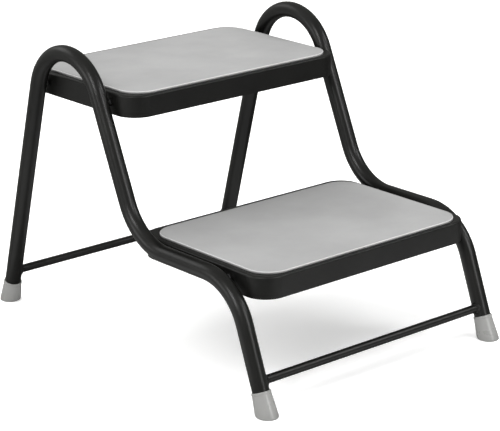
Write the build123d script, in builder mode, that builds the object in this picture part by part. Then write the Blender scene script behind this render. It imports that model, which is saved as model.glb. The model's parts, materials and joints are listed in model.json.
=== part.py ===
from build123d import *
from math import atan2, cos, degrees, hypot, radians, sin, sqrt, tan
import os

# Two-tread step stool with a bent-tube frame, in millimetres.
# +Z is up, the front faces -Y, and +X is the right-hand side seen from the front.
# The origin is on the floor, under the middle of the four feet's footprint.

# ---------------------------------------------------------------- side tubes
FRAME_WIDTH = 443.4          # between the two side tubes' centre planes
FOOT_SPREAD = 625.6          # between the front and rear leg axes at the floor
TUBE_D = 25.0
TUBE_WALL = 1.2
RUN_HEIGHT = 179.6           # centreline of the level run beside the lower tread
RUN_FRONT = 67.1             # the front leg's bend corner, behind its floor point
RUN_REAR = 282.6             # the upper front leg's bend corner, behind the same point
ARCH_CORNER_BACK = 461.5     # the two upper legs' meeting corner, behind the same point
ARCH_CORNER_HEIGHT = 596.3
FRONT_BEND_R = 88.0
REAR_BEND_R = 95.0
ARCH_BEND_R = 80.0

# --------------------------------------------------------------------- treads
HOOP_RISE = 45.0             # the arch's centreline above the upper tread's sheet
RUN_DROP = 9.1               # the level run's centreline below the lower tread's sheet
UPPER_OVERHANG = 53.4        # tread in front of its screws
LOWER_OVERHANG = 71.7
REAR_EXTRA = 6.0             # how much further a tread goes behind its screws
LOWER_SCREW_SPACING = 132.0
LOWER_FORWARD = 11.6         # the lower tread's middle, in front of the run's middle
SKIRT = 33.0                 # height of the tread's folded-down sides
CORNER_R = 35.0              # plan radius of the tread's corners
SHEET = 1.0
EDGE_R = 3.0                 # outside radius of the folded top edge
LIP = 9.0                    # inward lip along the skirt's bottom edge
MAT_SIDE_INSET = 10.0        # tread's border beside the mat
MAT_FRONT_INSET = 6.0
MAT_REAR_INSET = 15.5
MAT_CORNER_R = 37.0          # plan radius of the mat's corners
MAT_RISE = 3.5
MAT_BEVEL = 0.8
RIB_WIDTH = 44.0             # folded channel spot-welded under each tread
RIB_DEPTH = 16.0
RIB_FLANGE = 12.0
RIB_SHEET = 1.2
RIB_END_GAP = 2.0

# ----------------------------------------------------------------------- feet
FOOT_LENGTH = 36.0           # along the leg's axis, from the floor to the rim
FOOT_RIM_WALL = 1.0
FOOT_BASE_WALL = 3.9
FOOT_SOLE = 10.0             # rubber under the disc, along the leg's axis
FOOT_FIT = 0.1               # radial clearance between the rubber and the tube
FOOT_EDGE_R = 1.6
DISC = 1.5                   # steel disc that spreads the tube's end load

# ------------------------------------------------------------------ crossbars
BAR_D = 12.7
BAR_WALL = 1.2
WELD_LEG = 3.0               # how far the weld bead spreads along the bar and the tube
WELD_TOE = 0.4               # the bead's thickness where it ends on the bar
FRONT_BAR_GAP = 4.0          # along the leg, between the foot's rim and the weld bead
REAR_BAR_GAP = 8.3

# ------------------------------------------------------------------ fasteners
SCREW_D = 6.0
SCREW_HEAD_D = 12.0
SCREW_HEAD = 3.6
SCREW_HEAD_RIM = 1.0         # straight part of the head, under its domed cone
SCREW_HEAD_TOP_D = 9.6
SCREW_SOCKET = 4.0           # hexagon socket, across flats
SCREW_SOCKET_DEPTH = 2.2
SCREW_REACH = 12.0           # how far the shank goes past the tube's inner side
SCREW_CLEARANCE = 0.3        # radial, through the skirt and the spacer
UPPER_SCREW_DROP = 15.8      # screw axes below the upper tread's sheet
WASHER_D = 11.8
WASHER = 1.5
SPACER_D = 12.0
SPACER = 2.8                 # holds the tread clear of the side tube
NUT_FLANGE = 1.2
NUT_FLANGE_WIDTH = 2.0
NUT_WALL = 1.5
NUT_BORE_CLEARANCE = 0.05    # radial, between the screw and the rivet nut
NUT_HOLE_CLEARANCE = 0.1     # radial, between the barrel and its hole in the tube
NUT_COLLAR = 2.4             # the collar that forms behind the tube's wall
NUT_COLLAR_WIDTH = 0.8
NUT_LENGTH = 14.0            # barrel, past the tube's inner side

# ----------------------------------------------------------- worked-out values
half_frame = FRAME_WIDTH / 2
tube_r = TUBE_D / 2
tube_inner_r = tube_r - TUBE_WALL
tube_inner_side = half_frame - tube_r
tread_side = tube_inner_side - NUT_FLANGE - SPACER
tread_width = 2 * tread_side
bar_r = BAR_D / 2
screw_hole_r = SCREW_D / 2 + SCREW_CLEARANCE
nut_r = SCREW_D / 2 + NUT_WALL

# (y, z) corners of the side tube's centreline, before its bends are rounded
front_floor = (-FOOT_SPREAD / 2, 0.0)
rear_floor = (FOOT_SPREAD / 2, 0.0)
front_run = (front_floor[0] + RUN_FRONT, RUN_HEIGHT)
rear_run = (front_floor[0] + RUN_REAR, RUN_HEIGHT)
arch_corner = (front_floor[0] + ARCH_CORNER_BACK, ARCH_CORNER_HEIGHT)


def toward(start, end, distance):
    """The (y, z) point at a distance from start on the line to end."""
    length = hypot(end[0] - start[0], end[1] - start[1])
    return (
        start[0] + (end[0] - start[0]) * distance / length,
        start[1] + (end[1] - start[1]) * distance / length,
    )


def on_leg(start, end, height):
    """The y of the line from start to end at a height."""
    return start[0] + (end[0] - start[0]) * (height - start[1]) / (end[1] - start[1])


def lean(floor_point, corner):
    """Angle between a leg and the vertical, in degrees; positive leans towards +Y."""
    return degrees(atan2(corner[0] - floor_point[0], corner[1] - floor_point[1]))


front_lean = lean(front_floor, front_run)
rear_lean = lean(rear_floor, arch_corner)
upper_front_lean = lean(rear_run, arch_corner)


def arch_top():
    """Height of the arch's centreline at its top."""
    half_angle = radians(upper_front_lean - rear_lean) / 2
    tilt = radians(upper_front_lean + rear_lean) / 2
    centre_height = ARCH_CORNER_HEIGHT - ARCH_BEND_R / sin(half_angle) * cos(tilt)
    return centre_height + ARCH_BEND_R


def run_height(y):
    """Height of the side tube's centreline where it passes the lower tread."""
    bend_start = front_run[0] + FRONT_BEND_R * tan(radians(90 - front_lean) / 2)
    bend_end = rear_run[0] - REAR_BEND_R * tan(radians(90 - upper_front_lean) / 2)
    if y < bend_start:
        return RUN_HEIGHT - FRONT_BEND_R + sqrt(FRONT_BEND_R**2 - (bend_start - y) ** 2)
    if y > bend_end:
        return RUN_HEIGHT + REAR_BEND_R - sqrt(REAR_BEND_R**2 - (y - bend_end) ** 2)
    return RUN_HEIGHT


tread_top = {"upper": arch_top() - HOOP_RISE, "lower": RUN_HEIGHT + RUN_DROP}
upper_screw_height = tread_top["upper"] - UPPER_SCREW_DROP
lower_middle = (front_run[0] + rear_run[0]) / 2 - LOWER_FORWARD
lower_screw_y = [lower_middle + side * LOWER_SCREW_SPACING / 2 for side in (-1, 1)]
# (y, z) of the two screw axes on each side of a tread, on the side tube's centreline
screw_points = {
    "upper": [
        (on_leg(rear_run, arch_corner, upper_screw_height), upper_screw_height),
        (on_leg(rear_floor, arch_corner, upper_screw_height), upper_screw_height),
    ],
    "lower": [(y, run_height(y)) for y in lower_screw_y],
}
overhang = {"upper": UPPER_OVERHANG, "lower": LOWER_OVERHANG}
tread_middle = {}
tread_depth = {}
for tread, ((front_y, _), (rear_y, _)) in screw_points.items():
    tread_middle[tread] = (front_y + rear_y + REAR_EXTRA) / 2
    tread_depth[tread] = rear_y - front_y + 2 * overhang[tread] + REAR_EXTRA


def save(piece, name):
    """Label a finished sub-part and write it as its own STEP file."""
    piece.part.label = name
    export_step(piece.part, f"parts/{name}.step")


def side_planes(tread, x):
    """Planes at a distance x from the middle, facing outwards, at each screw of a tread."""
    return [
        Plane(origin=(side * x, y, z), x_dir=(0, side, 0), z_dir=(side, 0, 0))
        for side in (-1, 1)
        for y, z in screw_points[tread]
    ]


def leg_plane(side, floor_point, corner, distance):
    """Plane across a leg, at a distance up its axis from the floor."""
    y, z = toward(floor_point, corner, distance)
    axis = (0, corner[0] - floor_point[0], corner[1] - floor_point[1])
    return Plane(origin=(side * half_frame, y, z), x_dir=(1, 0, 0), z_dir=axis)


# ------------------------------------------------------------------ side tubes
def make_side_tube(side):
    """One continuous tube: front leg, level run, upper leg, arch and rear leg."""
    tube_start = toward(front_floor, front_run, FOOT_SOLE + DISC)
    tube_end = toward(rear_floor, arch_corner, FOOT_SOLE + DISC)
    corners = [tube_start, front_run, rear_run, arch_corner, tube_end]
    with BuildPart() as tube:
        with BuildLine() as path:
            FilletPolyline(
                *[(side * half_frame, y, z) for y, z in corners],
                radius=[FRONT_BEND_R, REAR_BEND_R, ARCH_BEND_R],
            )
        with BuildSketch(leg_plane(side, front_floor, front_run, FOOT_SOLE + DISC)):
            Circle(tube_r)
            Circle(tube_inner_r, mode=Mode.SUBTRACT)
        sweep(path=path.line)
        # holes for the rivet nuts, through the inner wall only
        for tread in ("upper", "lower"):
            for plane in side_planes(tread, half_frame):
                if plane.origin.X * side > 0:
                    with BuildSketch(plane):
                        Circle(nut_r + NUT_HOLE_CLEARANCE)
                    extrude(amount=-tube_r - 1, mode=Mode.SUBTRACT)
    return tube


# ------------------------------------------------------------------- crossbars
def bar_on_leg(floor_point, corner, gap):
    """The (y, z) of a crossbar's axis, a gap above the foot's rim."""
    return toward(floor_point, corner, FOOT_LENGTH + gap + WELD_LEG + bar_r)


legs = {"front": (front_floor, front_run), "rear": (rear_floor, arch_corner)}
bars = {
    "front": bar_on_leg(*legs["front"], FRONT_BAR_GAP),
    "rear": bar_on_leg(*legs["rear"], REAR_BAR_GAP),
}


def make_leg_core(end, side):
    """Solid rod in a leg's place, which shapes what is welded against the leg."""
    with BuildPart() as core:
        with BuildSketch(leg_plane(side, *legs[end], 0)):
            Circle(tube_r)
        extrude(amount=bars[end][1] + 4 * TUBE_D)
    return core.part


def make_crossbar(end):
    """Round tube between the legs, its ends shaped to fit against them."""
    leg_cores = [make_leg_core(end, side) for side in (-1, 1)]
    y, z = bars[end]
    with BuildPart() as crossbar:
        with BuildSketch(Plane(origin=(0, y, z), x_dir=(0, 1, 0), z_dir=(1, 0, 0))):
            Circle(bar_r)
            Circle(bar_r - BAR_WALL, mode=Mode.SUBTRACT)
        extrude(amount=half_frame, both=True)
        add(leg_cores, mode=Mode.SUBTRACT)
    return crossbar


def make_weld(end, side):
    """Fillet weld around one end of a crossbar."""
    y, z = bars[end]
    bead_r = bar_r + WELD_LEG
    # how far the tube's flank falls away under the bead's edge
    saddle = tube_r - sqrt(tube_r**2 - bead_r**2)
    plane = Plane(origin=(side * half_frame, y, z), x_dir=(0, 1, 0), z_dir=(-side, 0, 0))
    leg_core = make_leg_core(end, side)
    with BuildPart() as weld:
        with BuildSketch(plane.offset(tube_r - saddle)):
            Circle(bead_r)
        extrude(amount=saddle)
        with BuildSketch(plane.offset(tube_r)):
            Circle(bead_r)
        with BuildSketch(plane.offset(tube_r + WELD_LEG)):
            Circle(bar_r + WELD_TOE)
        loft()
        with BuildSketch(plane):
            Circle(bar_r)
        extrude(amount=2 * TUBE_D, mode=Mode.SUBTRACT)
        add(leg_core, mode=Mode.SUBTRACT)
    return weld


# ---------------------------------------------------------------------- treads
def make_pan(tread):
    """Pressed sheet tray: flat top, rounded corners, skirt and an inward bottom lip."""
    middle, depth, top = tread_middle[tread], tread_depth[tread], tread_top[tread]
    bottom = Plane.XY.offset(top - SKIRT)
    with BuildPart() as pan:
        with BuildSketch(bottom):
            with Locations((0, middle)):
                RectangleRounded(tread_width, depth, CORNER_R)
        extrude(amount=SKIRT)
        fillet(pan.faces().sort_by(Axis.Z)[-1].edges(), EDGE_R)
        underside = pan.faces().sort_by(Axis.Z)[0]
        offset(amount=-SHEET, openings=underside)
        with BuildSketch(bottom):
            with Locations((0, middle)):
                RectangleRounded(tread_width - SHEET, depth - SHEET, CORNER_R - SHEET / 2)
                RectangleRounded(
                    tread_width - 2 * LIP,
                    depth - 2 * LIP,
                    CORNER_R - LIP,
                    mode=Mode.SUBTRACT,
                )
        extrude(amount=SHEET)
        for plane in side_planes(tread, tread_side - LIP):
            with BuildSketch(plane):
                Circle(screw_hole_r)
            extrude(amount=2 * LIP, mode=Mode.SUBTRACT)
    return pan


def make_mat(tread):
    """Rubber mat glued on the tray's top, with a bevelled edge."""
    middle = tread_middle[tread] + (MAT_FRONT_INSET - MAT_REAR_INSET) / 2
    width = tread_width - 2 * MAT_SIDE_INSET
    depth = tread_depth[tread] - MAT_FRONT_INSET - MAT_REAR_INSET
    with BuildPart() as mat:
        with BuildSketch(Plane.XY.offset(tread_top[tread])):
            with Locations((0, middle)):
                RectangleRounded(width, depth, MAT_CORNER_R)
        extrude(amount=MAT_RISE)
        chamfer(mat.faces().sort_by(Axis.Z)[-1].edges(), MAT_BEVEL)
    return mat


def make_rib(tread):
    """Channel under the tray's sheet, from side to side, with its flanges at the top."""
    ceiling = tread_top[tread] - SHEET
    length = tread_width - 2 * SHEET - 2 * RIB_END_GAP - 2 * (SCREW_HEAD + WASHER)
    section = Plane(
        origin=(-length / 2, tread_middle[tread], ceiling), x_dir=(0, 1, 0), z_dir=(1, 0, 0)
    )
    with BuildPart() as rib:
        with BuildSketch(section):
            with Locations((0, -RIB_SHEET / 2)):
                Rectangle(RIB_WIDTH + 2 * RIB_FLANGE, RIB_SHEET)
            with Locations((0, -RIB_DEPTH / 2)):
                Rectangle(RIB_WIDTH, RIB_DEPTH)
            with Locations((0, -(RIB_DEPTH - RIB_SHEET) / 2)):
                Rectangle(RIB_WIDTH - 2 * RIB_SHEET, RIB_DEPTH - RIB_SHEET, mode=Mode.SUBTRACT)
        extrude(amount=length)
    return rib


# ------------------------------------------------------------------------ feet
def make_foot(end, side):
    """Tapered rubber ferrule along the leg, its sole cut level with the floor."""
    base = leg_plane(side, *legs[end], 0)
    rim_r = tube_r + FOOT_FIT + FOOT_RIM_WALL
    base_r = tube_r + FOOT_FIT + FOOT_BASE_WALL
    # the cone runs on below the floor, so that the sole can be cut from it
    below = base_r
    lowest_r = base_r + (base_r - rim_r) * below / FOOT_LENGTH
    with BuildPart() as foot:
        with BuildSketch(base.offset(-below)):
            Circle(lowest_r)
        with BuildSketch(base.offset(FOOT_LENGTH)):
            Circle(rim_r)
        loft()
        with BuildSketch(base.offset(FOOT_SOLE)):
            Circle(tube_r + FOOT_FIT)
        extrude(amount=FOOT_LENGTH, mode=Mode.SUBTRACT)
        split(bisect_by=Plane.XY, keep=Keep.TOP)
        sole = foot.faces().sort_by(Axis.Z)[0]
        fillet(sole.outer_wire().edges(), FOOT_EDGE_R)
    return foot


def make_foot_disc(end, side):
    """Steel disc between the tube's end and the rubber."""
    with BuildPart() as disc:
        with BuildSketch(leg_plane(side, *legs[end], FOOT_SOLE)):
            Circle(tube_r)
        extrude(amount=DISC)
    return disc


# ------------------------------------------------------------------- fasteners
def make_screws(tread):
    """Four button-head screws from inside the tray, outwards into the side tubes."""
    head_seat = tread_side - SHEET - WASHER
    with BuildPart() as screws:
        for plane in side_planes(tread, head_seat):
            with BuildSketch(plane.offset(-SCREW_HEAD)):
                Circle(SCREW_HEAD_TOP_D / 2)
            with BuildSketch(plane.offset(-SCREW_HEAD_RIM)):
                Circle(SCREW_HEAD_D / 2)
            loft()
            with BuildSketch(plane.offset(-SCREW_HEAD_RIM)):
                Circle(SCREW_HEAD_D / 2)
            extrude(amount=SCREW_HEAD_RIM)
            with BuildSketch(plane):
                Circle(SCREW_D / 2)
            extrude(amount=tube_inner_side + SCREW_REACH - head_seat)
            with BuildSketch(plane.offset(-SCREW_HEAD)):
                RegularPolygon(SCREW_SOCKET / 2, 6, major_radius=False)
            extrude(amount=SCREW_SOCKET_DEPTH, mode=Mode.SUBTRACT)
    return screws


def make_washers(tread):
    """Washers between the screw heads and the tray's skirt."""
    with BuildPart() as washers:
        for plane in side_planes(tread, tread_side - SHEET - WASHER):
            with BuildSketch(plane):
                Circle(WASHER_D / 2)
                Circle(screw_hole_r, mode=Mode.SUBTRACT)
            extrude(amount=WASHER)
    return washers


def make_spacers(tread):
    """Spacers that hold the tray clear of the side tubes."""
    with BuildPart() as spacers:
        for plane in side_planes(tread, tread_side):
            with BuildSketch(plane):
                Circle(SPACER_D / 2)
                Circle(screw_hole_r, mode=Mode.SUBTRACT)
            extrude(amount=SPACER)
    return spacers


def make_rivet_nuts(tread):
    """Threaded rivet nuts set in the side tubes' inner walls."""
    # the collar bears on the round wall along the two flanks of its hole
    collar_r = nut_r + NUT_COLLAR_WIDTH
    collar_start = tube_r - sqrt(tube_inner_r**2 - collar_r**2)
    with BuildPart() as nuts:
        for plane in side_planes(tread, tube_inner_side):
            with BuildSketch(plane.offset(-NUT_FLANGE)):
                Circle(nut_r + NUT_FLANGE_WIDTH)
            extrude(amount=NUT_FLANGE)
            with BuildSketch(plane):
                Circle(nut_r)
            extrude(amount=NUT_LENGTH)
            with BuildSketch(plane.offset(collar_start)):
                Circle(collar_r)
            extrude(amount=NUT_COLLAR)
            with BuildSketch(plane.offset(-NUT_FLANGE)):
                Circle(SCREW_D / 2 + NUT_BORE_CLEARANCE)
            extrude(amount=NUT_FLANGE + NUT_LENGTH, mode=Mode.SUBTRACT)
    return nuts


# ------------------------------------------------------------------ everything
os.makedirs("parts", exist_ok=True)
sides = {"left": -1, "right": 1}

for side_name, side in sides.items():
    save(make_side_tube(side), f"{side_name}_side_tube")

for end in legs:
    save(make_crossbar(end), f"{end}_crossbar")
    for side_name, side in sides.items():
        save(make_weld(end, side), f"{end}_{side_name}_weld")
        save(make_foot(end, side), f"{end}_{side_name}_foot")
        save(make_foot_disc(end, side), f"{end}_{side_name}_foot_disc")

for tread in ("upper", "lower"):
    save(make_pan(tread), f"{tread}_tread_pan")
    save(make_mat(tread), f"{tread}_tread_mat")
    save(make_rib(tread), f"{tread}_tread_rib")
    save(make_screws(tread), f"{tread}_tread_screws")
    save(make_washers(tread), f"{tread}_tread_washers")
    save(make_spacers(tread), f"{tread}_tread_spacers")
    save(make_rivet_nuts(tread), f"{tread}_tread_rivet_nuts")
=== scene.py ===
import json
from math import cos, pi, radians, sin, sqrt

import bmesh
import bpy
from mathutils import Matrix, Vector


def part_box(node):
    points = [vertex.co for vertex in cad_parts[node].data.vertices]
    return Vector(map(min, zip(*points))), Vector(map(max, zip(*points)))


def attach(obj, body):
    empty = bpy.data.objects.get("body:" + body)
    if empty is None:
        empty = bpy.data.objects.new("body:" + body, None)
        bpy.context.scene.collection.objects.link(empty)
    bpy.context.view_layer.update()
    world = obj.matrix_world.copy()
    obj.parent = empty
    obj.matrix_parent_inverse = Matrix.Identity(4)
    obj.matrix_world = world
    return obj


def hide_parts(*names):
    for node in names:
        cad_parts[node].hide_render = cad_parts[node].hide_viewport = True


# Looks of the two-tread step stool, in metres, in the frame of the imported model:
# +Z is up, the front faces -Y, +X is the right-hand side seen from the front.
# The mats, feet and weld beads are built here. Every other node keeps its CAD shape.

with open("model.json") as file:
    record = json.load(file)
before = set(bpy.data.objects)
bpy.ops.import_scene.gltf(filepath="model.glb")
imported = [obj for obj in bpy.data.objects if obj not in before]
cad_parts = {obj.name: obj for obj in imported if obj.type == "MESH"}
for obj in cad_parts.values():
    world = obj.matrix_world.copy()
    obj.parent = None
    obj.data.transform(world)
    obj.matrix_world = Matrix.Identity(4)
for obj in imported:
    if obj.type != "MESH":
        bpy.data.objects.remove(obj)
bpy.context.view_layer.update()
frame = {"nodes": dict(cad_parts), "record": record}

BODY = "root"
MM = 0.001

# --------------------------------------------------------------- camera values
CAMERA_AZIMUTH = radians(-40.43)
CAMERA_ELEVATION = radians(18.15)
CAMERA_ROLL = radians(-0.49)
CAMERA_DISTANCE = 3.147
CAMERA_AIM = Vector((-0.018, -0.041, 0.182))
CAMERA_LENS = 149.9          # millimetres
CAMERA_SENSOR = 36.0         # millimetres

# ------------------------------------------------- surround, floor and lighting
WORLD_BRIGHT_SIDE = (-0.60, 0.20, 0.45)  # towards the brightest part
WORLD_SPREAD = 0.75          # how far the fade reaches to each side of the middle
WORLD_DIM = 0.07
WORLD_BRIGHT = 0.52
WORLD_TINT = (1.0, 1.0, 0.97, 1)
FLOOR_HALF = 20.0
FLOOR_CELLS = 4
FLOOR_LOW = (0.89, 0.89, 0.89)
FLOOR_HIGH = (0.91, 0.91, 0.91)
FLOOR_ROUGHNESS = 0.9
FLOOR_GLOW = 0.3             # keeps the shadow on the floor pale
LIGHT_AIM = (0, 0, 0.2)

# ------------------------- noise scales of the materials, in features per metre
PAINT_CLOUD = 14.0
PAINT_HAZE = 60.0
RUBBER_CLOUD = 9.0
RUBBER_PATCH = 45.0
ZINC_CLOUD = 300.0
ZINC_GRAIN = 2500.0
FLOOR_CLOUD = 2.0

# ----------------------------------------------- sizes shared with the CAD model
TUBE_R = 12.5 * MM
BAR_R = 6.35 * MM
FOOT_LENGTH = 36.0 * MM      # along the leg's axis, from the floor to the rim
FOOT_SOLE = 10.0 * MM        # rubber under the tube's disc, along the same axis
FOOT_FIT = 0.1 * MM
FOOT_RIM_WALL = 1.0 * MM
FOOT_BASE_WALL = 3.9 * MM
DISC = 1.5 * MM              # steel disc between the tube's end and the rubber
WELD_LEG = 3.0 * MM

# ------------------------------------------------------ sizes of the new pieces
MAT_CORNER = 37.0 * MM       # plan radius of a mat's corners
MAT_DRAFT = 0.15 * MM        # how far a mat's side leans in
MAT_ROUND = 1.1 * MM         # radius of a mat's top edge
MAT_SIDE_DROP = 0.75 * MAT_ROUND  # below the top, where the painted highlight on the edge ends
MAT_EDGE_DROP = 0.02 * MAT_ROUND  # below the top, where the painted highlight on the edge starts
MAT_SIDE_STEEP = 0.5         # the normal of a side rises or falls less than this
CORNER_STEPS = 16
ROUND_STEPS = 6

FOOT_BAND = 3.4 * MM         # height of the thicker band at a foot's rim
FOOT_BAND_PROUD = 0.45 * MM  # how far the band stands out from the wall
FOOT_BAND_BLEND = 1.0 * MM   # how far below that edge the plain wall starts
# at the band's lower edge: share of FOOT_BAND_PROUD, and height above that edge
FOOT_SHOULDER = ((1.0, 0.5 * MM), (0.6, 0.1 * MM), (0.1, -0.3 * MM))
FOOT_MOUTH_ROUND = 0.4 * MM  # at the rim, inside
FOOT_RIM_ROUND = 0.6 * MM    # at the rim, outside
FOOT_TURN = 72               # segments round a foot
FOOT_BASE_ROUND = 3.0 * MM
SOLE_GROOVE = 0.8 * MM       # depth of a ring groove in a foot's sole
SOLE_RINGS = 3
SOLE_RING_REACH = 0.88       # outermost groove's outer edge, as a share of the sole
SOLE_RING_PITCH = 0.24
# across a groove: share of the sole further in, and share of its depth
SOLE_RING_SHAPE = ((0.0, 0), (0.03, 1), (0.09, 1), (0.12, 0))

WELD_TURN = 120              # segments round a weld bead
WELD_RIPPLES = 15
WELD_RIPPLE = 0.22 * MM
WELD_RIPPLE_DRIFT = 0.8      # how unevenly the ripples follow each other, in radians
WELD_RIPPLE_LIFT = 0.6       # share of a ripple by which it also lifts the crown
WELD_BULGE = 0.35 * MM
WELD_SINK = 0.05 * MM        # how far the root reaches into the bar


# ===================================================================== helpers
def new_object(name, mesh):
    """An object for a finished mesh, linked to the scene."""
    piece = bpy.data.objects.new(name, mesh)
    bpy.context.scene.collection.objects.link(piece)
    return piece


def mesh_piece(name, bm, material, smooth=True):
    """Turns a bmesh into an object with one material."""
    bmesh.ops.recalc_face_normals(bm, faces=bm.faces)
    mesh = bpy.data.meshes.new(name)
    bm.to_mesh(mesh)
    bm.free()
    mesh.polygons.foreach_set("use_smooth", [smooth] * len(mesh.polygons))
    mesh.materials.append(material)
    return new_object(name, mesh)


def stand_for(piece, node):
    """Lets a new piece stand for a CAD node, on its body, and hides the node."""
    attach(piece, BODY)
    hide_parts(node)


def use_material(node, material):
    """Gives a carried-over CAD node its detailed material."""
    slots = frame["nodes"][node].data.materials
    slots.clear()
    slots.append(material)


# =================================================================== materials
def start_material(name):
    """A node material with its Principled shader and output."""
    material = bpy.data.materials.new(name)
    material.use_nodes = True
    nodes = material.node_tree.nodes
    nodes.clear()
    output = nodes.new("ShaderNodeOutputMaterial")
    shader = nodes.new("ShaderNodeBsdfPrincipled")
    material.node_tree.links.new(shader.outputs["BSDF"], output.inputs["Surface"])
    return material, shader


def add_node(material, kind, **values):
    """A shader node with some of its inputs or settings given."""
    node = material.node_tree.nodes.new(kind)
    for key, value in values.items():
        if key in node.inputs:
            node.inputs[key].default_value = value
        else:
            setattr(node, key, value)
    return node


def join(material, source, target):
    """Links an output to an input."""
    material.node_tree.links.new(source, target)


def noise(material, scale, detail=3.0, roughness=0.5):
    """Noise in the object's own coordinates, which are metres."""
    where = add_node(material, "ShaderNodeTexCoord")
    texture = add_node(
        material, "ShaderNodeTexNoise", Scale=scale, Detail=detail, Roughness=roughness
    )
    join(material, where.outputs["Object"], texture.inputs["Vector"])
    return texture.outputs["Fac"]


def ramp(material, source, low, high, start=0.35, end=0.65):
    """Spreads a 0 to 1 value between two colours."""
    node = add_node(material, "ShaderNodeValToRGB")
    node.color_ramp.elements[0].position = start
    node.color_ramp.elements[1].position = end
    node.color_ramp.elements[0].color = (*low, 1)
    node.color_ramp.elements[1].color = (*high, 1)
    join(material, source, node.inputs["Fac"])
    return node.outputs["Color"]


def spread(material, source, low, high):
    """Spreads a 0 to 1 value between two numbers."""
    node = add_node(material, "ShaderNodeMapRange")
    node.inputs["To Min"].default_value = low
    node.inputs["To Max"].default_value = high
    join(material, source, node.inputs["Value"])
    return node.outputs["Result"]


def bump(material, shader, height, distance, strength=1.0):
    """Adds a bump of a given height in metres."""
    node = add_node(material, "ShaderNodeBump", Strength=strength, Distance=distance)
    join(material, height, node.inputs["Height"])
    join(material, node.outputs["Normal"], shader.inputs["Normal"])


def powder_coat(name, colours, roughness, grain, grain_height):
    """Satin powder coat: near-black, with fine orange peel and faint unevenness."""
    material, shader = start_material(name)
    cloud = noise(material, PAINT_CLOUD, detail=4.0)
    join(material, ramp(material, cloud, *colours), shader.inputs["Base Color"])
    haze = noise(material, PAINT_HAZE, detail=2.0)
    join(material, spread(material, haze, *roughness), shader.inputs["Roughness"])
    peel = noise(material, grain, detail=2.0, roughness=0.6)
    bump(material, shader, peel, grain_height)
    shader.inputs["IOR"].default_value = 1.45
    shader.inputs["Specular IOR Level"].default_value = 0.4
    return material


frame_paint = powder_coat(
    "frame_paint",
    colours=((0.0030, 0.0030, 0.0027), (0.0055, 0.0055, 0.0050)),
    roughness=(0.28, 0.38),
    grain=900.0,
    grain_height=0.00006,
)
tread_paint = powder_coat(
    "tread_paint",
    colours=((0.0030, 0.0030, 0.0027), (0.0050, 0.0050, 0.0045)),
    roughness=(0.36, 0.46),
    grain=1300.0,
    grain_height=0.00010,
)


def grey_rubber(name, colours, roughness, grain, grain_height):
    """Light grey rubber: faint mottling and a fine moulded grain."""
    material, shader = start_material(name)
    cloud = noise(material, RUBBER_CLOUD, detail=5.0)
    join(material, ramp(material, cloud, *colours), shader.inputs["Base Color"])
    patch = noise(material, RUBBER_PATCH, detail=3.0)
    join(material, spread(material, patch, *roughness), shader.inputs["Roughness"])
    pebble = add_node(material, "ShaderNodeTexVoronoi", Scale=grain)
    where = add_node(material, "ShaderNodeTexCoord")
    join(material, where.outputs["Object"], pebble.inputs["Vector"])
    bump(material, shader, pebble.outputs["Distance"], grain_height, strength=0.8)
    return material


mat_rubber = grey_rubber(
    "mat_rubber",
    colours=((0.235, 0.235, 0.235), (0.27, 0.27, 0.27)),
    roughness=(0.55, 0.68),
    grain=1100.0,
    grain_height=0.00010,
)
# lighter rubber on the mat's rounded top edge: a painted highlight where the edge catches the
# light
highlight_rubber = grey_rubber(
    "mat_rubber_painted_highlight",
    colours=((0.42, 0.42, 0.42), (0.47, 0.47, 0.47)),
    roughness=(0.40, 0.52),
    grain=1100.0,
    grain_height=0.00003,
)
# lighter rubber on the mat's sides: painted light, a brighter copy of the mat's rubber for
# faces that the top light reaches less
side_painted_light_rubber = grey_rubber(
    "mat_rubber_side_painted_light",
    colours=((0.33, 0.33, 0.33), (0.37, 0.37, 0.37)),
    roughness=(0.50, 0.62),
    grain=1400.0,
    grain_height=0.00006,
)
foot_rubber = grey_rubber(
    "foot_rubber",
    colours=((0.190, 0.190, 0.185), (0.222, 0.222, 0.217)),
    roughness=(0.24, 0.34),
    grain=1500.0,
    grain_height=0.00004,
)


def zinc_plating(name, colours, roughness, grain_height):
    """Zinc plating with a fine spangle, bright and dull by turns."""
    material, shader = start_material(name)
    cloud = noise(material, ZINC_CLOUD)
    join(material, ramp(material, cloud, *colours), shader.inputs["Base Color"])
    join(material, spread(material, cloud, *roughness), shader.inputs["Roughness"])
    bump(material, shader, noise(material, ZINC_GRAIN), grain_height)
    shader.inputs["Metallic"].default_value = 1.0
    return material


zinc_steel = zinc_plating(
    "zinc_steel",
    colours=((0.34, 0.35, 0.36), (0.46, 0.46, 0.44)),
    roughness=(0.24, 0.40),
    grain_height=0.00003,
)
spacer_black = powder_coat(
    "spacer_black",
    colours=((0.0040, 0.0040, 0.0038), (0.0070, 0.0070, 0.0068)),
    roughness=(0.45, 0.60),
    grain=1800.0,
    grain_height=0.00004,
)

# ======================================================= carried-over CAD nodes
finishes = {
    "frame_paint": frame_paint,
    "tread_paint": tread_paint,
    "mat_rubber": mat_rubber,
    "foot_rubber": foot_rubber,
    "zinc_steel": zinc_steel,
    "spacer_plastic": spacer_black,
}
for part in frame["record"]["subparts"]:
    use_material(part["node"], finishes[part["material_slot"]])


# =============================================================== mesh building
def skin(bm, rings, joined=False):
    """Faces between rings of as many points each; joined closes the last to the first."""
    loops = [[bm.verts.new(point) for point in ring] for ring in rings]
    pairs = list(zip(loops, loops[1:]))
    if joined:
        pairs.append((loops[-1], loops[0]))
    for low, high in pairs:
        for i in range(len(low)):
            j = (i + 1) % len(low)
            bm.faces.new((low[i], low[j], high[j], high[i]))
    return loops


def cap(bm, loop):
    """Closes a ring with a fan of triangles round its middle."""
    middle = bm.verts.new(sum((vert.co for vert in loop), Vector()) / len(loop))
    for i, vert in enumerate(loop):
        bm.faces.new((vert, loop[(i + 1) % len(loop)], middle))


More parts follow.
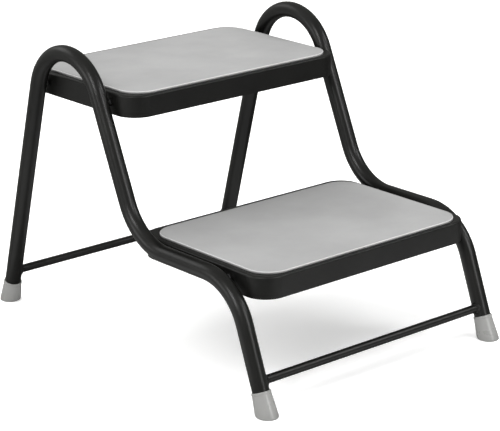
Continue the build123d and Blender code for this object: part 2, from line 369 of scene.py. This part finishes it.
# ======================================================================== mats
def rounded_outline(low, high, inset, height):
    """Points round a mat's outline with arc corners, pulled in by an inset."""
    centres = [
        (high.x - MAT_CORNER, high.y - MAT_CORNER, 0),
        (low.x + MAT_CORNER, high.y - MAT_CORNER, 90),
        (low.x + MAT_CORNER, low.y + MAT_CORNER, 180),
        (high.x - MAT_CORNER, low.y + MAT_CORNER, 270),
    ]
    points = []
    for x, y, start in centres:
        for step in range(CORNER_STEPS + 1):
            angle = radians(start + 90 * step / CORNER_STEPS)
            reach = MAT_CORNER - inset
            points.append(Vector((x + reach * cos(angle), y + reach * sin(angle), height)))
    return points


def make_mat(tread):
    """Glued rubber mat with a leaning side and a rounded top edge."""
    node = f"{tread}_tread_mat"
    low, high = (Vector(corner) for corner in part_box(node))
    profile = [(0.0, low.z), (MAT_DRAFT, high.z - MAT_ROUND)]
    for step in range(1, ROUND_STEPS + 1):
        angle = radians(90 * step / ROUND_STEPS)
        inset = MAT_DRAFT + MAT_ROUND * (1 - cos(angle))
        profile.append((inset, high.z - MAT_ROUND * (1 - sin(angle))))
    profile.append((MAT_CORNER / 2, high.z))
    bm = bmesh.new()
    loops = skin(bm, [rounded_outline(low, high, *spot) for spot in profile])
    bm.faces.new(loops[0])
    bm.faces.new(loops[-1])
    piece = mesh_piece(f"{tread}_mat", bm, mat_rubber)
    # the steep sides take the side rubber as painted light, and the rounded top edge takes
    # the edge rubber as a painted highlight
    piece.data.materials.append(side_painted_light_rubber)
    piece.data.materials.append(highlight_rubber)
    for face in piece.data.polygons:
        drop = high.z - face.center.z
        if drop > MAT_SIDE_DROP and abs(face.normal.z) < MAT_SIDE_STEEP:
            face.material_index = 1
        elif drop > MAT_EDGE_DROP:
            face.material_index = 2
    stand_for(piece, node)


for tread in ("upper", "lower"):
    make_mat(tread)


# ======================================================================== legs
def leg_axis(end, side):
    """A leg's point on the floor and its direction, from the box of its steel disc."""
    low, high = (Vector(corner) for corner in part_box(f"{end}_{side}_foot_disc"))
    tube_d = 2 * TUBE_R
    size = high - low
    tilt = (tube_d * size.z - DISC * size.y) / (tube_d**2 - DISC**2)
    towards_rear = 1 if end == "front" else -1
    axis = Vector((0, towards_rear * tilt, sqrt(1 - tilt**2)))
    return (low + high) / 2 - axis * (FOOT_SOLE + DISC / 2), axis


# ======================================================================== feet
def make_foot(end, side):
    """Rubber ferrule: banded rim, tapered wall, rounded base and a grooved flat sole."""
    origin, axis = leg_axis(end, side)
    across = Vector((1, 0, 0))
    forward = axis.cross(across)
    rim_r = TUBE_R + FOOT_FIT + FOOT_RIM_WALL
    base_r = TUBE_R + FOOT_FIT + FOOT_BASE_WALL
    bore_r = TUBE_R + FOOT_FIT
    taper = (base_r - rim_r) / FOOT_LENGTH

    def spot(angle, radius, along):
        outward = across * cos(angle) + forward * sin(angle)
        return origin + outward * radius + axis * along

    def wall(along):
        return base_r - taper * along

    # (radius, distance up the leg) from the bore's bottom, over the rim, to below the band
    band_low = FOOT_LENGTH - FOOT_BAND
    band_end = band_low - FOOT_BAND_BLEND
    edge_r = wall(FOOT_LENGTH) + FOOT_BAND_PROUD
    profile = [
        (bore_r, FOOT_SOLE),
        (bore_r, FOOT_LENGTH - FOOT_MOUTH_ROUND),
        (bore_r + 0.375 * FOOT_MOUTH_ROUND, FOOT_LENGTH - 0.25 * FOOT_MOUTH_ROUND),
        (bore_r + FOOT_MOUTH_ROUND, FOOT_LENGTH),
        (edge_r - FOOT_RIM_ROUND, FOOT_LENGTH),
        (edge_r - FOOT_RIM_ROUND / 3, FOOT_LENGTH - 0.25 * FOOT_RIM_ROUND),
        (edge_r, FOOT_LENGTH - FOOT_RIM_ROUND),
    ]
    for share, rise in FOOT_SHOULDER:
        profile.append((wall(band_low) + share * FOOT_BAND_PROUD, band_low + rise))
    profile.append((wall(band_end), band_end))

    turns = [2 * pi * i / FOOT_TURN for i in range(FOOT_TURN)]
    rings = [[spot(angle, *point) for angle in turns] for point in profile]

    # the wall runs down to the floor, and the corner there is rounded
    corners = []
    for angle in turns:
        drop = forward.z * sin(angle)
        along = -drop * base_r / (axis.z - drop * taper)
        corners.append(spot(angle, wall(along), along))
    lowest = rings[-1]
    starts = [c + (p - c).normalized() * FOOT_BASE_ROUND for p, c in zip(lowest, corners)]
    centre = Vector((origin.x, sum(c.y for c in corners) / FOOT_TURN, 0))
    ends = [c + (centre - c).normalized() * FOOT_BASE_ROUND for c in corners]
    for share in (0.25, 0.5, 0.75):
        rings.append([p.lerp(s, share) for p, s in zip(lowest, starts)])
    for step in range(ROUND_STEPS + 1):
        t = step / ROUND_STEPS
        rings.append(
            [s.lerp(c, t).lerp(c.lerp(e, t), t) for s, c, e in zip(starts, corners, ends)]
        )
    # shallow ring grooves in the sole
    up = Vector((0, 0, SOLE_GROOVE))
    for groove in range(SOLE_RINGS):
        outer = SOLE_RING_REACH - SOLE_RING_PITCH * groove
        for inset, lift in SOLE_RING_SHAPE:
            rings.append([centre.lerp(e, outer - inset) + up * lift for e in ends])
    bm = bmesh.new()
    loops = skin(bm, rings)
    cap(bm, loops[0])
    cap(bm, loops[-1])
    piece = mesh_piece(f"{end}_{side}_rubber_foot", bm, foot_rubber)
    stand_for(piece, f"{end}_{side}_foot")


# ======================================================================= welds
def make_weld(end, side):
    """Fillet weld round a crossbar's end, with the ripples of its pool."""
    _, axis = leg_axis(end, side)
    bar_low, bar_high = (Vector(corner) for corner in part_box(f"{end}_crossbar"))
    bar = (bar_low + bar_high) / 2
    low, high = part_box(f"{end}_{side}_foot_disc")
    leg_x = (low[0] + high[0]) / 2
    inward = -1 if leg_x > 0 else 1
    aside = axis.cross(Vector((1, 0, 0)))

    def on_leg(radius, angle):
        """The leg's surface, at a distance from the bar's axis and a turn round it."""
        offset = Vector((0, cos(angle), sin(angle))) * radius
        reach = sqrt(TUBE_R**2 - offset.dot(aside) ** 2)
        return Vector((leg_x + inward * reach, bar.y + offset.y, bar.z + offset.z))

    rings = []
    for i in range(WELD_TURN):
        angle = 2 * pi * i / WELD_TURN
        drift = WELD_RIPPLE_DRIFT * sin(2 * angle)
        ripple = WELD_RIPPLE * sin(WELD_RIPPLES * angle + drift)
        leg = WELD_LEG + ripple
        root = on_leg(BAR_R - WELD_SINK, angle)
        toe = on_leg(BAR_R + leg, angle)
        out = Vector((0, cos(angle), sin(angle)))
        bar_toe = root + Vector((inward * leg, 0, 0)) + out * WELD_SINK
        slanting = (out + Vector((inward, 0, 0))).normalized()
        crown = (toe + bar_toe) / 2 + slanting * (WELD_BULGE + WELD_RIPPLE_LIFT * ripple)
        section = [root, toe]
        for step in range(1, ROUND_STEPS):
            t = step / ROUND_STEPS
            section.append(toe.lerp(crown, t).lerp(crown.lerp(bar_toe, t), t))
        section.append(bar_toe)
        rings.append(section)
    bm = bmesh.new()
    skin(bm, rings, joined=True)
    piece = mesh_piece(f"{end}_{side}_weld_bead", bm, frame_paint)
    stand_for(piece, f"{end}_{side}_weld")


for end in ("front", "rear"):
    for side in ("left", "right"):
        make_foot(end, side)
        make_weld(end, side)


# ======================================================================= stage
def make_floor():
    """Large plain pale floor, which the glossy tubes don't mirror."""
    material, shader = start_material("pale_floor")
    shade = ramp(material, noise(material, FLOOR_CLOUD), FLOOR_LOW, FLOOR_HIGH)
    join(material, shade, shader.inputs["Base Color"])
    shader.inputs["Roughness"].default_value = FLOOR_ROUGHNESS
    shader.inputs["Emission Color"].default_value = (1, 1, 1, 1)
    shader.inputs["Emission Strength"].default_value = FLOOR_GLOW
    bm = bmesh.new()
    bmesh.ops.create_grid(bm, x_segments=FLOOR_CELLS, y_segments=FLOOR_CELLS, size=FLOOR_HALF)
    floor = mesh_piece("floor", bm, material, smooth=False)
    floor.visible_glossy = False


def make_light(name, position, aim, size, power, mirrored=True):
    """Rectangular softbox that faces a point; glossy surfaces may mirror it."""
    light = bpy.data.lights.new(name, "AREA")
    light.shape = "RECTANGLE"
    light.size, light.size_y = size
    light.energy = power
    lamp = new_object(name, light)
    lamp.location = position
    towards = Vector(aim) - Vector(position)
    lamp.rotation_euler = towards.to_track_quat("-Z", "Y").to_euler()
    lamp.visible_camera = False
    lamp.visible_glossy = mirrored


def make_world():
    """Surround that is brighter to the left and overhead and dim to the right."""
    world = bpy.data.worlds.new("surround")
    world.use_nodes = True
    tree = world.node_tree
    where = tree.nodes.new("ShaderNodeTexCoord")
    towards = tree.nodes.new("ShaderNodeVectorMath")
    towards.operation = "DOT_PRODUCT"
    towards.inputs[1].default_value = WORLD_BRIGHT_SIDE
    fade = tree.nodes.new("ShaderNodeMapRange")
    fade.inputs["From Min"].default_value = -WORLD_SPREAD
    fade.inputs["From Max"].default_value = WORLD_SPREAD
    fade.inputs["To Min"].default_value = WORLD_DIM
    fade.inputs["To Max"].default_value = WORLD_BRIGHT
    tree.links.new(where.outputs["Generated"], towards.inputs[0])
    tree.links.new(towards.outputs["Value"], fade.inputs["Value"])
    background = tree.nodes["Background"]
    background.inputs["Color"].default_value = WORLD_TINT
    tree.links.new(fade.outputs["Result"], background.inputs["Strength"])
    bpy.context.scene.world = world


def make_camera():
    """Camera at the given angle round its aim point."""
    back = Vector(
        (
            sin(CAMERA_AZIMUTH) * cos(CAMERA_ELEVATION),
            -cos(CAMERA_AZIMUTH) * cos(CAMERA_ELEVATION),
            sin(CAMERA_ELEVATION),
        )
    )
    right = (-back).cross(Vector((0, 0, 1))).normalized()
    up = back.cross(right)
    rolled_right = right * cos(CAMERA_ROLL) + up * sin(CAMERA_ROLL)
    rolled_up = up * cos(CAMERA_ROLL) - right * sin(CAMERA_ROLL)
    data = bpy.data.cameras.new("camera")
    data.lens = CAMERA_LENS
    data.sensor_width = CAMERA_SENSOR
    camera = new_object("camera", data)
    turn = Matrix((rolled_right, rolled_up, back)).transposed().to_4x4()
    camera.matrix_world = Matrix.Translation(CAMERA_AIM + back * CAMERA_DISTANCE) @ turn
    bpy.context.scene.camera = camera


make_floor()
make_world()

# softboxes: position, aim, width and height, and power in watts
make_light("key", (2.0, -1.75, 2.05), LIGHT_AIM, (0.6, 0.9), 16)
make_light("strip", (0.48, -2.7, 1.45), LIGHT_AIM, (0.42, 1.7), 27)
make_light("side", (-2.28, -0.92, 1.92), LIGHT_AIM, (0.35, 1.3), 26)
make_light("rear", (-1.1, 2.4, 2.1), LIGHT_AIM, (1.9, 1.2), 11.5)
make_light("rear_low", (-2.4, 0.9, 0.7), (-0.2, 0.3, 0.1), (1.2, 0.9), 9)
make_light("top", (0.0, 0.3, 4.0), LIGHT_AIM, (7.0, 7.0), 340, mirrored=False)

# low lights that face up stand in for what a pale floor throws back: position, size, watts
for name, (x, y, z), size, power in (
    ("floor_bounce", (0.2, -0.57, 0.01), (0.9, 0.42), 0.75),
    ("left_bounce", (-0.55, 0.05, 0.01), (0.5, 0.6), 0.45),
    ("under_bounce", (0.1, 0.0, 0.01), (0.5, 0.5), 0.35),
    ("bar_bounce", (0.1, -0.375, 0.005), (0.8, 0.08), 0.12),
):
    make_light(name, (x, y, z), (x, y, z + 1), size, power)
make_camera()
bpy.context.scene.view_settings.view_transform = "Standard"
